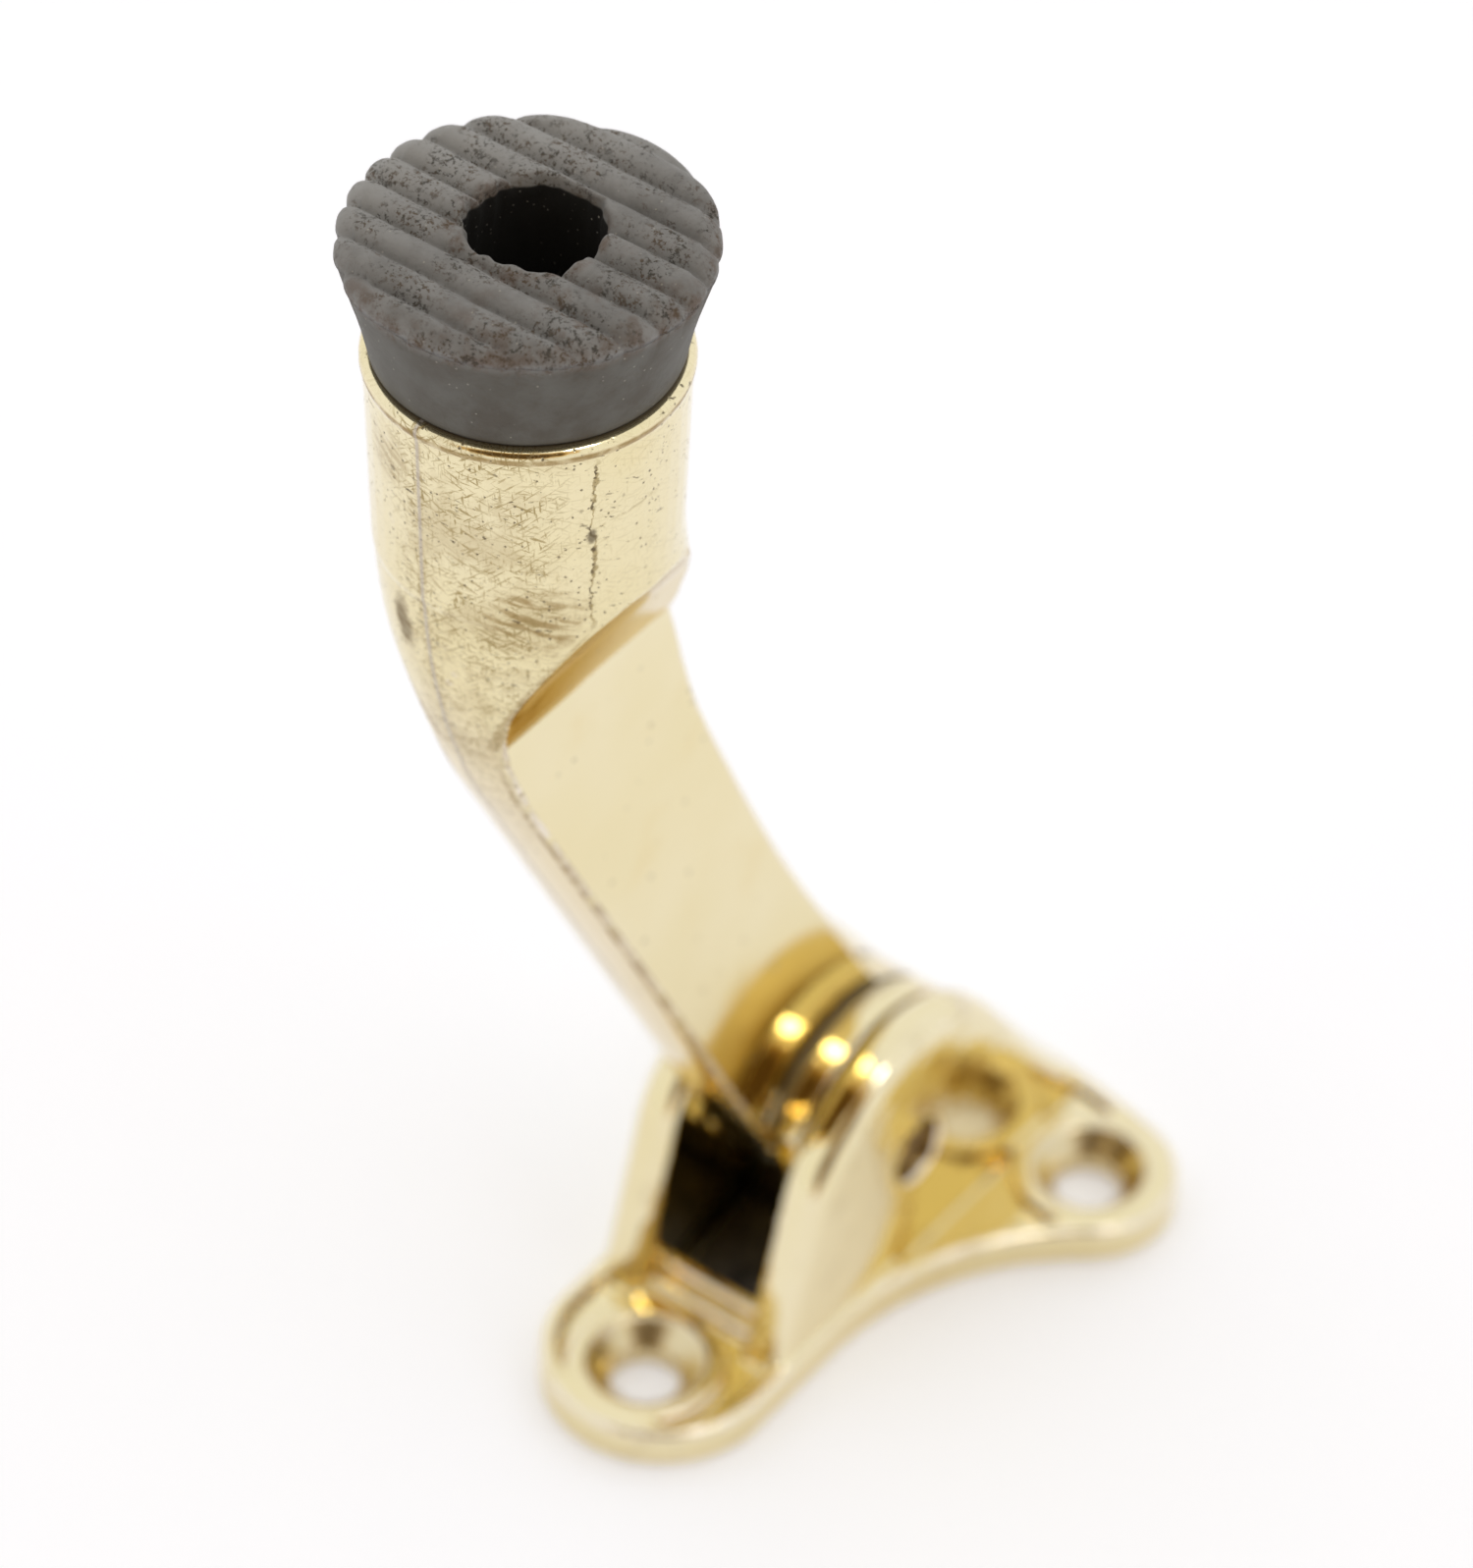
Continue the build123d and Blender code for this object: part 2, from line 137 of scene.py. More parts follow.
# ------------------------------------------------------------------ node helpers
class Nodes:
    """Short spellings for building a node tree."""

    def __init__(self, tree):
        self.tree = tree
        tree.nodes.clear()

    def add(self, kind, **settings):
        node = self.tree.nodes.new(kind)
        for key, value in settings.items():
            setattr(node, key, value)
        return node

    def put(self, socket, value):
        if isinstance(value, bpy.types.NodeSocket):
            self.tree.links.new(value, socket)
        elif isinstance(value, (tuple, list)) and len(value) == 3 and socket.type == "RGBA":
            socket.default_value = (*value, 1.0)
        else:
            socket.default_value = value

    def math(self, op, a, b=0.0, c=0.0, clamp=False):
        node = self.add("ShaderNodeMath", operation=op, use_clamp=clamp)
        for i, v in enumerate((a, b, c)):
            self.put(node.inputs[i], v)
        return node.outputs[0]

    def vec(self, op, a, b):
        node = self.add("ShaderNodeVectorMath", operation=op)
        self.put(node.inputs[0], a)
        self.put(node.inputs["Scale"] if op == "SCALE" else node.inputs[1], b)
        return node.outputs["Value"] if op in {"DOT_PRODUCT", "DISTANCE"} else node.outputs[0]

    def ramp(self, value, lo, hi, to_lo=0.0, to_hi=1.0):
        node = self.add("ShaderNodeMapRange", interpolation_type="SMOOTHSTEP")
        for i, v in enumerate((value, lo, hi, to_lo, to_hi)):
            self.put(node.inputs[i], v)
        return node.outputs[0]

    def noise(self, where, scale, detail=4.0, rough=0.55, distort=0.0):
        node = self.add("ShaderNodeTexNoise")
        self.put(node.inputs["Vector"], where)
        self.put(node.inputs["Scale"], scale)
        self.put(node.inputs["Detail"], detail)
        self.put(node.inputs["Roughness"], rough)
        self.put(node.inputs["Distortion"], distort)
        return node.outputs["Fac"]

    def voronoi(self, where, scale):
        node = self.add("ShaderNodeTexVoronoi")
        self.put(node.inputs["Vector"], where)
        self.put(node.inputs["Scale"], scale)
        return node

    def mix(self, fac, a, b, kind="MIX"):
        node = self.add("ShaderNodeMix", data_type="RGBA", blend_type=kind)
        self.put(node.inputs["Factor"], fac)
        self.put(node.inputs[6], a)
        self.put(node.inputs[7], b)
        return node.outputs[2]

    def bump(self, height, strength, distance, normal=None):
        node = self.add("ShaderNodeBump")
        self.put(node.inputs["Height"], height)
        self.put(node.inputs["Strength"], strength)
        self.put(node.inputs["Distance"], distance)
        if normal is not None:
            self.put(node.inputs["Normal"], normal)
        return node.outputs[0]

    def surface(self, **inputs):
        shader = self.add("ShaderNodeBsdfPrincipled")
        for name, value in inputs.items():
            self.put(shader.inputs[name.replace("_", " ")], value)
        out = self.add("ShaderNodeOutputMaterial")
        self.tree.links.new(shader.outputs[0], out.inputs[0])


def material(name):
    mat = bpy.data.materials.new(name)
    mat.use_nodes = True
    return mat, Nodes(mat.node_tree)


def split(n, vector):
    node = n.add("ShaderNodeSeparateXYZ")
    n.put(node.inputs[0], vector)
    return node.outputs


def times(n, *values):
    total = values[0]
    for value in values[1:]:
        total = n.math("MULTIPLY", total, value)
    return total


def top(n, *values):
    total = values[0]
    for value in values[1:]:
        total = n.math("MAXIMUM", total, value)
    return total


def apart(n, a, b):
    """Distance between two numbers."""
    return n.math("ABSOLUTE", n.math("SUBTRACT", a, b))


def hypot(n, a, b):
    return n.math("SQRT", n.math("ADD", n.math("MULTIPLY", a, a), n.math("MULTIPLY", b, b)))


def waver(n, where, scale, detail, rough, size):
    """Noise swinging evenly to both sides of zero."""
    return n.math("MULTIPLY", n.math("SUBTRACT", n.noise(where, scale, detail, rough), 0.5), size)


def dashes(n, sheet, turn, length, width, lo, hi):
    """Short fine strokes lying at one angle on a flat sheet of millimetres."""
    rotate = n.add("ShaderNodeVectorRotate", rotation_type="Z_AXIS")
    n.put(rotate.inputs["Vector"], sheet)
    n.put(rotate.inputs["Angle"], math.radians(turn))
    squeezed = n.vec("MULTIPLY", rotate.outputs[0], (1 / length, 1 / width, 1.0))
    return n.ramp(n.noise(squeezed, 1.0, 2.0, 0.6, 0.25), lo, hi)


def spot(n, p, centre, radii, edge):
    """A soft oval patch on the socket's skin; `edge` roughens its outline."""
    du = n.math("DIVIDE", n.math("SUBTRACT", p.arc, centre[0]), radii[0])
    dv = n.math("DIVIDE", n.math("SUBTRACT", p.z, centre[1]), radii[1])
    return n.ramp(n.math("ADD", hypot(n, du, dv), edge), 1.35, 0.45)


def flecks(n, cells, edge, lo, hi, channel, above):
    """Dots in some cells of a Voronoi pattern."""
    dot = n.ramp(n.math("ADD", cells.outputs["Distance"], edge), lo, hi)
    return times(n, dot, n.math("GREATER_THAN", split(n, cells.outputs["Color"])[channel], above))


def position(n):
    """Where a point lies, in millimetres."""
    at = n.vec("SCALE", n.add("ShaderNodeTexCoord").outputs["Object"], 1 / MM)
    x, y, z = split(n, at)
    return SimpleNamespace(at=at, x=x, y=y, z=z)


# ------------------------------------------------------------------ brass on the lever
def lever_places(n, p):
    """Adds to p the socket's skin laid flat, and masks for the parts of the lever."""
    p.arc = n.math("MULTIPLY", n.math("ARCTAN2", p.x, n.math("SUBTRACT", SOCKET_Y, p.y)), SOCKET_R)
    sheet = n.add("ShaderNodeCombineXYZ")
    for socket, value in zip(sheet.inputs, (p.arc, p.z, 0.0)):
        n.put(socket, value)
    p.sheet = sheet.outputs[0]
    p.side = n.math("ABSOLUTE", p.x)
    p.across = n.math("ABSOLUTE", split(n, p.normal)[0])
    web = times(n, n.ramp(p.across, 0.80, 0.95), n.math("LESS_THAN", p.side, WEB_SIDE + 0.4))

    # the gusset's rim widens upwards; its flanks are seen edge-on
    along = n.math("SUBTRACT", p.z, GUSSET_START)
    widening = n.math("MULTIPLY_ADD", along, 0.0085, 0.41)
    p.rim_gap = apart(n, p.side, n.math("MULTIPLY_ADD", widening, along, WEB_SIDE))
    p.above_bend = n.ramp(p.z, *BEND)
    flank = times(
        n, p.above_bend, n.ramp(p.z, *GUSSET_END), n.ramp(p.rim_gap, 0.8, 0.5),
        n.ramp(p.across, 0.78, 0.84), n.ramp(p.across, 0.975, 0.955),
    )
    p.skin = n.math("SUBTRACT", 1.0, n.math("MAXIMUM", web, flank))
    p.flank = n.math("MULTIPLY", flank, n.ramp(p.y, *FLANK_Y, 0.30, 1.0))
    p.high = times(n, p.skin, n.ramp(p.z, *SCRATCHED_FROM))
    p.front = times(n, p.high, n.ramp(apart(n, p.arc, SCRATCHED_ARC), 6.5, 3.4))
    p.ragged = waver(n, p.sheet, 0.8, 5.0, 0.7, 1.6)
    p.broken = n.ramp(n.noise(p.sheet, 1.6, 4.0, 0.7), 0.40, 0.56)


def fine_scratches(n, p):
    """Crossing scratches, densest down the front."""
    amount = n.math("ADD", n.math("MULTIPLY", p.front, 0.85), n.math("MULTIPLY", p.high, 0.22))
    patchy = n.ramp(n.noise(p.sheet, 0.33, 4.0, 0.65), 0.30, 0.60, 0.25, 1.0)
    strokes = top(n, *(dashes(n, p.sheet, *numbers) for numbers in SCRATCH_SETS))
    return times(n, strokes, amount, patchy)


def pits_and_blots(n, p):
    """Pits in clusters, and slightly longer dark blots; also the shape of one pit."""
    cells = n.voronoi(p.sheet, 2.4)
    jag = waver(n, p.sheet, 5.0, 3.0, 0.7, 0.55)
    pit = n.ramp(n.math("ADD", cells.outputs["Distance"], jag), 0.26, 0.11)
    chance = n.ramp(p.clump, 0.36, 0.60, 0.96, 0.52)
    pick = n.math("GREATER_THAN", split(n, cells.outputs["Color"])[0], chance)
    pits = times(n, pit, pick, p.high)
    dabs = dashes(n, p.sheet, 14.0, 0.95, 0.36, 0.655, 0.71)
    blots = times(n, dabs, n.ramp(p.clump, 0.36, 0.52), p.high)
    return pits, blots, pit


def scuffs(n, p):
    streaks = dashes(n, p.sheet, 24.0, 2.6, 0.42, 0.40, 0.60)
    patches = top(n, *(
        times(n, spot(n, p, place, radii, p.ragged), strength) for place, radii, strength in SCUFFS
    ))
    return times(n, patches, p.skin, n.math("MULTIPLY_ADD", streaks, 0.75, 0.25))


def long_crack(n, p, pit):
    """One wandering crack with a branch, a blob and a column of specks: stain and dirt."""
    sway = waver(n, p.sheet, 0.55, 5.0, 0.6, 1.9)
    past = n.math("SUBTRACT", p.arc, CRACK_ARC)
    off = n.math("ABSOLUTE", n.math("ADD", past, sway))
    thick = n.ramp(n.noise(p.sheet, 0.75, 3.0, 0.6), 0.42, 0.66, 0.07, 0.34)
    crack = times(
        n, n.ramp(off, thick, n.math("MULTIPLY", thick, 0.35)),
        n.ramp(p.z, CRACK_LOW - 0.8, CRACK_LOW + 0.6),
        n.ramp(p.z, CRACK_HIGH + 0.8, CRACK_HIGH - 0.8), p.skin,
    )
    above = n.math("SUBTRACT", p.z, n.math("MULTIPLY_ADD", past, 0.14, BRANCH_Z))
    aside = n.math("ABSOLUTE", n.math("ADD", above, n.math("MULTIPLY", sway, 0.5)))
    branch = times(
        n, n.ramp(aside, 0.16, 0.05), 0.6, n.ramp(p.arc, CRACK_ARC - 0.2, CRACK_ARC + 0.4),
        p.broken, p.skin, n.ramp(p.arc, CRACK_ARC + 5.5, CRACK_ARC + 3.5),
    )
    blob = times(n, spot(n, p, CRACK_BLOB, (0.34, 0.62), n.math("MULTIPLY", p.ragged, 1.3)), p.skin, 0.85)
    column = times(n, spot(n, p, SPECKS, (0.8, 3.2), 0.0), pit, p.skin)
    flecked = n.ramp(n.noise(p.sheet, 1.1, 3.0, 0.7), 0.47, 0.58, 0.0, 0.9)
    return top(n, crack, branch), top(n, times(n, crack, flecked), blob, column)


def parting_line(n, p):
    """The mould's seam down the front, and the dirt beside it."""
    beside = apart(n, p.x, SEAM_X)
    down_front = n.math("MULTIPLY", n.ramp(p.y, *SEAM_Y), p.skin)
    seam = times(n, n.ramp(beside, 0.19, 0.06), down_front)
    return seam, times(n, n.ramp(beside, 0.45, 0.16), down_front, p.broken)


def neck_shadow(n, p):
    """Painted shade in the groove beside the hub's head."""
    reach = hypot(n, p.y, n.math("SUBTRACT", p.z, PIVOT_Z))
    return times(
        n, n.ramp(p.side, NECK_IN - 0.08, NECK_IN + 0.04), n.ramp(p.side, NECK_OUT + 0.15, NECK_OUT - 0.05),
        n.ramp(reach, HEAD_R, HEAD_R - 0.25), n.ramp(reach, *NECK_R_FROM), n.ramp(p.z, *NECK_FROM), 0.9,
    )


def edge_dirt(n, p):
    """Dirt along the gusset's rim and along the front rib's two edges."""
    rim_noise = n.ramp(n.noise(p.at, 0.8, 4.0), 0.32, 0.55, 0.3, 0.9)
    gusset = times(
        n, n.ramp(p.rim_gap, 0.60, 0.22), p.above_bend, n.ramp(p.z, *GUSSET_DIRT_END),
        n.ramp(p.across, 0.90, 0.84), rim_noise,
    )
    rib_noise = n.ramp(n.noise(p.at, 0.55, 5.0, 0.7), 0.34, 0.58, 0.25, 1.0)
    rib_line = n.ramp(apart(n, p.side, RIB_SIDE), 0.26, 0.10)
    low = times(n, n.ramp(p.z, *RIB_DIRT_END), n.ramp(p.z, *RIB_DIRT_FROM))
    return gusset, times(n, rib_line, low, rib_noise)


def rim_shade_lines(n, p):
    """Painted shade: black where the rubber sits in the rim, and a brown painted shadow line under the
    rim's bead.
    """
    rim = RIM_Z / MM
    radius = hypot(n, p.x, n.math("SUBTRACT", p.y, SOCKET_Y))
    mouth = times(n, n.ramp(radius, MOUTH_R + 0.10, MOUTH_R - 0.06), n.ramp(p.z, rim - 0.6, rim - 0.3))
    under = n.ramp(apart(n, p.z, rim - BEAD_DROP), 0.34, 0.14)
    return mouth, times(n, under, n.ramp(n.noise(p.sheet, 0.7, 4.0), 0.30, 0.60, 0.35, 0.95))


def lever_wear_and_shade(n, p):
    """Everything that time has done to the lever's plating, together with painted shade: in the neck
    groove, where the rubber sits in the rim and under the rim's bead.
    """
    lever_places(n, p)
    scratches = fine_scratches(n, p)
    pits, blots, pit = pits_and_blots(n, p)
    stained, crack = long_crack(n, p, pit)
    seam, seam_dirt = parting_line(n, p)
    smudge = times(n, spot(n, p, SMUDGE, (0.8, 2.0), p.ragged), p.skin, 0.55)
    gusset_dirt, rib_dirt = edge_dirt(n, p)
    mouth, bead_shadow = rim_shade_lines(n, p)
    stray_edge = n.math("MULTIPLY", n.noise(p.at, 2.2, 3.0, 0.7), 0.35)
    stray = times(n, flecks(n, n.voronoi(p.at, 0.75), stray_edge, 0.36, 0.24, 2, 0.80), 0.55)
    scratches = top(n, scratches, times(n, stained, 0.9))
    return SimpleNamespace(
        # dark: pits, blots, the crack, the smudge and stray flecks, plus painted shade in the neck groove
        # and where the rubber sits in the rim
        dark=top(
            n, times(n, pits, 0.9), times(n, blots, 0.9), crack, smudge, neck_shadow(n, p), stray, mouth,
        ),
        # tarnish: scuffs and dirt, plus the painted shadow line under the rim's bead
        tarnish=top(
            n, times(n, scuffs(n, p), 0.85), times(n, p.flank, 0.12), times(n, gusset_dirt, 0.75),
            times(n, rib_dirt, 0.8), times(n, seam_dirt, 0.45),
            times(n, p.front, n.ramp(p.clump, 0.42, 0.66), 0.30), bead_shadow,
        ),
        blush=times(
            n, n.ramp(p.side, 2.75, 2.55), n.ramp(p.across, 0.45, 0.30),
            n.ramp(p.z, *BLUSH_END), n.ramp(p.z, *BLUSH_FROM),
        ),
        scratches=scratches,
        seam=seam,
        flank=p.flank,
        dull=n.math("MULTIPLY", scratches, 0.25),
    )


# ------------------------------------------------------------------ brass on the base
def base_wear(n, p):
    """Sparse specks, light tarnish, and duller metal round the screw holes."""
    near = [n.vec("DISTANCE", p.at, hole) for hole in SCREW_HOLES]
    holes = n.ramp(n.math("MINIMUM", near[0], n.math("MINIMUM", near[1], near[2])), 4.5, 3.9)
    speck_edge = n.math("MULTIPLY", p.clump, 0.2)
    # mirrored in the lever, the upper part of the cheeks looks dull
    mirrored = times(n, p.again, n.ramp(p.z, *MIRRORED_FROM), 0.55)
    return SimpleNamespace(
        dark=times(n, flecks(n, n.voronoi(p.at, 0.8), speck_edge, 0.24, 0.14, 2, 0.88), 0.6),
        tarnish=top(n, n.math("MULTIPLY", n.ramp(p.clump, 0.55, 0.75), 0.25), times(n, holes, 0.22)),
        blush=0.0,
        scratches=0.0,
        seam=0.0,
        flank=0.0,
        dull=n.math("ADD", n.math("MULTIPLY", holes, 0.16), mirrored),
    )


# ------------------------------------------------------------------ materials
def brass(name, wear_and_shade_of, edge_full, edge_patch, edge_fade):
    """Bright plating; the given function supplies the worn marks, and on the lever also painted shade; the
    edge numbers say how far its edges are rubbed bare.
    """
    mat, n = material(name)
    p = position(n)
    geometry = n.add("ShaderNodeNewGeometry")
    p.normal = geometry.outputs["Normal"]
    p.pointy = geometry.outputs["Pointiness"]
    p.clump = n.noise(p.at, 0.30, 4.0, 0.6)
    p.again = n.math("GREATER_THAN", n.add("ShaderNodeLightPath").outputs["Glossy Depth"], 0.5)
    wear_and_shade = wear_and_shade_of(n, p)

    patches = n.ramp(n.noise(p.at, 0.42, 6.0, 0.7), edge_patch, 0.55)
    fade = n.ramp(p.z, *RUBBED_END, edge_fade, 1.0)
    worn = times(n, n.ramp(p.pointy, 0.504, edge_full), patches, fade)
    hollow = times(n, n.ramp(p.pointy, 0.492, 0.44), n.ramp(n.noise(p.at, 0.3, 4.0), 0.25, 0.60))
    tarnish = top(n, wear_and_shade.tarnish, times(n, hollow, 0.55))

    colour = n.mix(n.ramp(n.noise(p.at, 0.045, 3.0), 0.35, 0.65), BRASS, BRASS_PALE)
    for amount, layer in (
        (n.ramp(n.noise(p.at, 0.16, 5.0), 0.54, 0.78, 0.0, 0.30), BRASS_DEEP),
        (n.math("MULTIPLY", worn, 0.8), BARE),
        (n.math("MULTIPLY", wear_and_shade.blush, 0.45), BLUSH),
        (tarnish, TARNISH_AND_SHADE),
        (n.math("MULTIPLY", wear_and_shade.scratches, 0.85), STROKES),
        (n.math("MULTIPLY", wear_and_shade.dark, 0.88), GRIME_AND_SHADE),
        (n.math("MULTIPLY", wear_and_shade.seam, 0.65), SEAM_GREY),
    ):
        colour = n.mix(amount, colour, layer)
    # painted reflection: brass seen in brass is painted more golden, its colour multiplied by a deeper gold
    # on reflected rays
    colour = n.mix(p.again, colour, n.mix(1.0, colour, BRASS_PAINTED_REFLECTION, "MULTIPLY"))

    rough = n.ramp(n.noise(p.at, 0.08, 4.0), 0.3, 0.8, 0.07, 0.13)
    rough = n.math("ADD", rough, n.math("MULTIPLY", worn, 0.22))
    rough = n.math("ADD", rough, n.math("MULTIPLY", tarnish, 0.25))
    rough = n.math("ADD", rough, wear_and_shade.dull)
    rough = n.math("ADD", rough, n.math("MULTIPLY", wear_and_shade.dark, 0.40), clamp=True)

    normal = n.bump(n.noise(p.at, 0.13, 2.0, 0.4), 0.35, 0.05 * MM)
    normal = n.bump(n.noise(p.at, 1.5, 3.0), 0.04, 0.02 * MM, normal)
    uneven = n.ramp(p.z, *UNEVEN_END, 0.0, 0.6)
    normal = n.bump(n.noise(p.at, 0.42, 2.0, 0.5), uneven, 0.16 * MM, normal)
    normal = n.bump(n.math("SUBTRACT", 1.0, wear_and_shade.dark), 0.45, 0.04 * MM, normal)
    normal = n.bump(wear_and_shade.seam, 0.5, 0.06 * MM, normal)
    n.surface(
        Base_Color=colour, Metallic=n.math("SUBTRACT", 1.0, n.math("MULTIPLY", wear_and_shade.dark, 0.6)),
        Roughness=rough, Normal=normal, Specular_Tint=n.mix(wear_and_shade.flank, WHITE, FLANK_TINT),
    )
    return mat


def steel(name, tone, roughness):
    mat, n = material(name)
    at = n.add("ShaderNodeTexCoord").outputs["Object"]
    spots = n.ramp(n.noise(at, 700.0, 5.0), 0.35, 0.75)
    colour = n.mix(spots, tone, tuple(c * 0.45 for c in tone))
    rough = n.math("ADD", roughness, n.math("MULTIPLY", spots, 0.2))
    normal = n.bump(n.noise(at, 1800.0, 4.0), 0.25, 0.03 * MM)
    n.surface(Base_Color=colour, Metallic=0.85, Roughness=rough, Normal=normal)
    return mat


def rubber_places(n):
    """Where a point lies on the foot: radius, tread mask, and how far towards the photo's viewer."""
    p = position(n)
    out = n.math("SUBTRACT", p.y, FOOT.y / MM)
    p.top = FOOT_TOP / MM
    p.radius = hypot(n, p.x, out)
    p.tread = n.ramp(p.z, p.top - 2.2, p.top - 1.0)
    p.toward = n.math("ADD", n.math("MULTIPLY", p.x, 0.075), n.math("MULTIPLY", out, -0.05))
    return p


def rubber_ground(n, p):
    """Grey of the tread, with painted light making it lighter towards -X and the back, and of the flare
    below it, darker brown towards +X and the front and paler grey towards -X and the back.
    """
    tread = n.mix(n.ramp(n.noise(p.at, 0.35, 5.0, 0.65), 0.35, 0.68), TREAD_PALE, TREAD_GREY)
    # painted light: the tread is mixed towards a lighter grey on its -X and back side
    tread = n.mix(n.ramp(p.toward, 0.10, -0.80, 0.0, 0.65), tread, TREAD_LIT)
    flare = n.mix(n.ramp(n.noise(p.at, 0.22, 4.0), 0.35, 0.7), FLARE_PALE, FLARE_GREY)
    brown = n.ramp(n.noise(p.at, 0.28, 4.0, 0.6), 0.35, 0.65)
    # the flare turns darker brown towards +X and the front, and paler grey in patches towards -X and the
    # back
    flare = n.mix(times(n, n.ramp(p.toward, 0.15, 0.75), brown, 0.6), flare, FLARE_BROWN)
    paler_patches = n.ramp(n.noise(p.at, 0.40, 4.0, 0.6), 0.40, 0.62)
    flare = n.mix(times(n, n.ramp(p.toward, -0.05, -0.60), paler_patches, 0.5), flare, FLARE_PALER_GREY)
    return n.mix(p.tread, flare, tread)


def rubber_rust(n, p):
    """Brown dirt on the lip, round the well and washed over part of the tread."""
    low, high = p.top - 2.6, p.top - 1.3
    lip = times(n, n.ramp(p.radius, 9.9, 10.9), n.ramp(p.z, low, high), n.ramp(p.toward, -0.35, 0.35))
    mouth = times(n, n.ramp(apart(n, p.radius, WELL_R), 0.75, 0.2), p.tread)
    lumps = n.ramp(n.noise(p.at, 0.75, 6.0, 0.7), 0.40, 0.62)
    washed = n.ramp(n.noise(p.at, 0.45, 5.0, 0.65), 0.50, 0.68)
    wash = times(n, n.ramp(p.toward, 0.10, 0.75), washed, p.tread, 0.7)
    return top(n, times(n, top(n, lip, mouth), lumps), wash)


def rubber_grit(n, p):
    """Dark grit in clusters over the tread, thin on the flare."""
    cluster = n.ramp(n.noise(p.at, 0.30, 4.0, 0.65), 0.42, 0.58)
    fine = n.ramp(n.noise(p.at, 3.2, 4.0, 0.7), 0.53, 0.60)
    coarse = n.ramp(n.noise(p.at, 1.5, 5.0, 0.75), 0.545, 0.62)
    return times(
        n, top(n, fine, coarse), n.math("MULTIPLY_ADD", cluster, 0.92, 0.05),
        n.math("MULTIPLY_ADD", p.tread, 0.85, 0.12),
    )


def rubber_well(n, p):
    """Mask of the well, and the near-black painted shade inside it, with dust on the wall."""
    hole = n.math("MULTIPLY", n.ramp(p.radius, 5.3, 5.1), n.ramp(p.z, p.top - 0.80, p.top - 1.0))
    motes = times(
        n, flecks(n, n.voronoi(p.at, 3.0), 0.0, 0.26, 0.14, 1, 0.66),
        n.ramp(n.noise(p.at, 0.5, 3.0), 0.38, 0.52), n.ramp(p.toward, -0.30, 0.05, 0.25, 1.0),
    )
    return hole, n.mix(n.math("MULTIPLY", motes, 0.9), WELL_SHADE_BLACK, WELL_DUST)


def rubber():
    mat, n = material("grey_rubber_worn")
    p = rubber_places(n)
    rim = RIM_Z / MM
    grit = rubber_grit(n, p)
    hole, inside = rubber_well(n, p)
    grit_colour = n.mix(n.ramp(n.noise(p.at, 0.9, 2.0), 0.42, 0.58), GRIT_BLACK, GRIT_BROWN)
    dust = flecks(n, n.voronoi(p.at, 2.6), 0.0, 0.22, 0.10, 0, 0.90)
    colour = rubber_ground(n, p)
    for amount, layer in (
        (n.math("MULTIPLY", rubber_rust(n, p), 0.70), RUST),
        (n.math("MULTIPLY", grit, 0.85), grit_colour),
        (n.math("MULTIPLY", dust, 0.55), DUST),
        (hole, inside),
        (n.ramp(p.z, rim + 0.35, rim + 0.05), RIM_SHADOW),
    ):
        colour = n.mix(amount, colour, layer)

    rough = n.math("ADD", 0.50, n.math("MULTIPLY", n.noise(p.at, 0.5, 4.0), 0.25))
    rough = n.math("ADD", rough, n.math("MULTIPLY", n.math("MAXIMUM", grit, hole), 0.25), clamp=True)
    grain = n.math("MULTIPLY_ADD", p.tread, 0.45, 0.10)
    normal = n.bump(n.noise(p.at, 0.42, 6.0, 0.65), 0.5, 0.10 * MM)
    normal = n.bump(n.noise(p.at, 2.4, 4.0, 0.7), grain, 0.06 * MM, normal)
    normal = n.bump(n.math("SUBTRACT", 1.0, grit), 0.4, 0.05 * MM, normal)
    n.surface(Base_Color=colour, Roughness=rough, Normal=normal, Specular_IOR_Level=0.32)
    return mat


# ------------------------------------------------------------------ castings and steel pieces
CAST_VOXEL = 0.17 * MM
CAST_ROUNDS = 8


def dress(node, mat):
    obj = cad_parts[node]
    obj.data.materials.clear()
    obj.data.materials.append(mat)


def ease(obj, rounds):
    smooth = obj.modifiers.new("ease", "SMOOTH")
    smooth.factor = 0.5
    smooth.iterations = rounds


def soften(obj):
    """Melts the sharp CAD edges into the soft ones of a casting."""
    cast = obj.modifiers.new("cast", "REMESH")
    cast.mode = "VOXEL"
    cast.voxel_size = CAST_VOXEL
    cast.use_smooth_shade = True
    ease(obj, CAST_ROUNDS)


def dress_all():
    keeper = steel("zinc_keeper_steel", (0.52, 0.52, 0.51), 0.38)
    screw = steel("black_screw_steel", (0.035, 0.032, 0.030), 0.45)
    dress("lever_arm", brass("brass_lever", lever_wear_and_shade, 0.545, 0.36, 0.15))
    dress("base_casting", brass("brass_base", base_wear, 0.528, 0.30, 1.0))
    dress("pivot_pin", steel("dark_pin_steel", (0.27, 0.18, 0.09), 0.38))
    dress("leaf_spring", steel("black_leaf_steel", (0.052, 0.048, 0.044), 0.42))
    dress("keeper_plate", keeper)
    dress("keeper_screws", keeper)
    dress("foot_screw", screw)
    dress("foot_washer", screw)
    soften(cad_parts["base_casting"])
    soften(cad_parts["lever_arm"])


# ------------------------------------------------------------------ rubber foot
RIB_PITCH = 2.4 * MM
RIB_SHIFT = -0.55 * MM
RIB_H = 0.75 * MM
TREAD_LOW = FOOT_TOP - RIB_H
AROUND = 720
TURNS = [2 * math.pi * k / AROUND for k in range(AROUND)]
TREAD_STEPS = 66
RING_STEP = 0.22 * MM
TREAD_IN = 9.85            # where the shoulder ends and the flat tread begins, mm
WELL_R = 4.3               # mm
WELL_SHIFT = 0.75 * MM     # the well's mouth sits off the middle
SCREW_R = 1.65 * MM
STEM_FLOOR_R = 5.0 * MM
